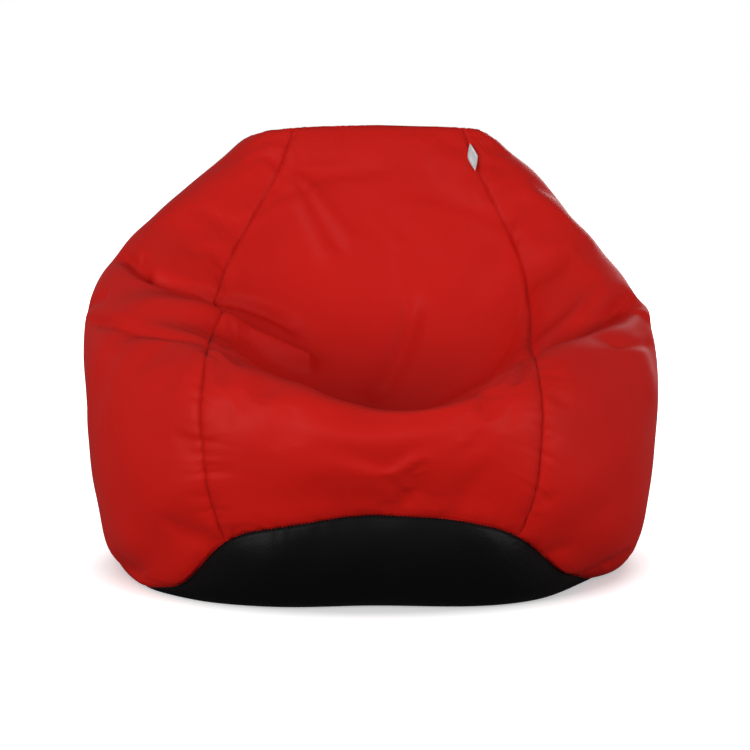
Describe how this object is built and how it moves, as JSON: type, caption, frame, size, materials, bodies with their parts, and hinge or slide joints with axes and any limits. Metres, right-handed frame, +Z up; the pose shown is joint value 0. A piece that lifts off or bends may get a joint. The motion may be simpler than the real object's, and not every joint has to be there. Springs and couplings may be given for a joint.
{
  "type": "bean bag chair",
  "caption": "Round floor chair: a sewn leathercloth cover with a scooped seat and a raised back, over a cloth liner of loose beads, closed by a zip at the back.",
  "frame": {"origin": "on the floor, under the middle of the bag's box", "axes": "+Z up, the front of the seat faces -Y, +X is to the right of someone who stands in front and looks at it"},
  "size_m": [0.7948, 0.7897, 0.6102],
  "materials": {
    "red_leathercloth": "semi-matte coated leathercloth with a fine grain",
    "black_leathercloth": "semi-matte coated leathercloth with a coarser grain",
    "silver_badge": "silver moulded badge with a raised face",
    "zip_tape": "woven polyester tape",
    "zip_coil": "moulded nylon",
    "zip_metal": "nickel plated die cast metal",
    "liner_cloth": "plain woven polyester",
    "liner_nylon": "moulded nylon",
    "beads": "expanded polystyrene beads"
  },
  "bodies": {
    "bag": {"front_panel": "red_leathercloth", "left_side_panel": "red_leathercloth", "right_side_panel": "red_leathercloth", "rear_left_panel": "red_leathercloth", "rear_right_panel": "red_leathercloth", "top_panel": "red_leathercloth", "base_panel": "black_leathercloth", "seam_tag": "silver_badge", "zip_tape_left": "zip_tape", "zip_tape_right": "zip_tape", "zip_teeth_left": "zip_coil", "zip_teeth_right": "zip_coil", "zip_top_stop": "zip_metal", "zip_bottom_stop": "zip_metal", "liner_tray": "liner_cloth", "liner_body": "liner_cloth", "liner_zip_left": "liner_nylon", "liner_zip_right": "liner_nylon", "bead_fill": "beads"},
    "slider": {"zip_slider": "zip_metal"},
    "pull": {"zip_pull_tab": "zip_metal"},
    "liner_slider": {"liner_zip_slider": "liner_nylon"}
  },
  "joints": [
    {"name": "zip_run", "type": "hinge", "parent": "bag", "child": "slider", "pos_m": [0, -0.025, 0.225], "axis": [1, 0, 0], "range_deg": [-36.6, 0]},
    {"name": "pull_swing", "type": "hinge", "parent": "slider", "child": "pull", "pos_m": [0, 0.36358, 0.38908], "axis": [1, 0, 0], "range_deg": [0, 165]},
    {"name": "liner_zip_run", "type": "hinge", "parent": "bag", "child": "liner_slider", "pos_m": [0, -0.025, 0.225], "axis": [1, 0, 0], "range_deg": [-26, 0]}
  ]
}
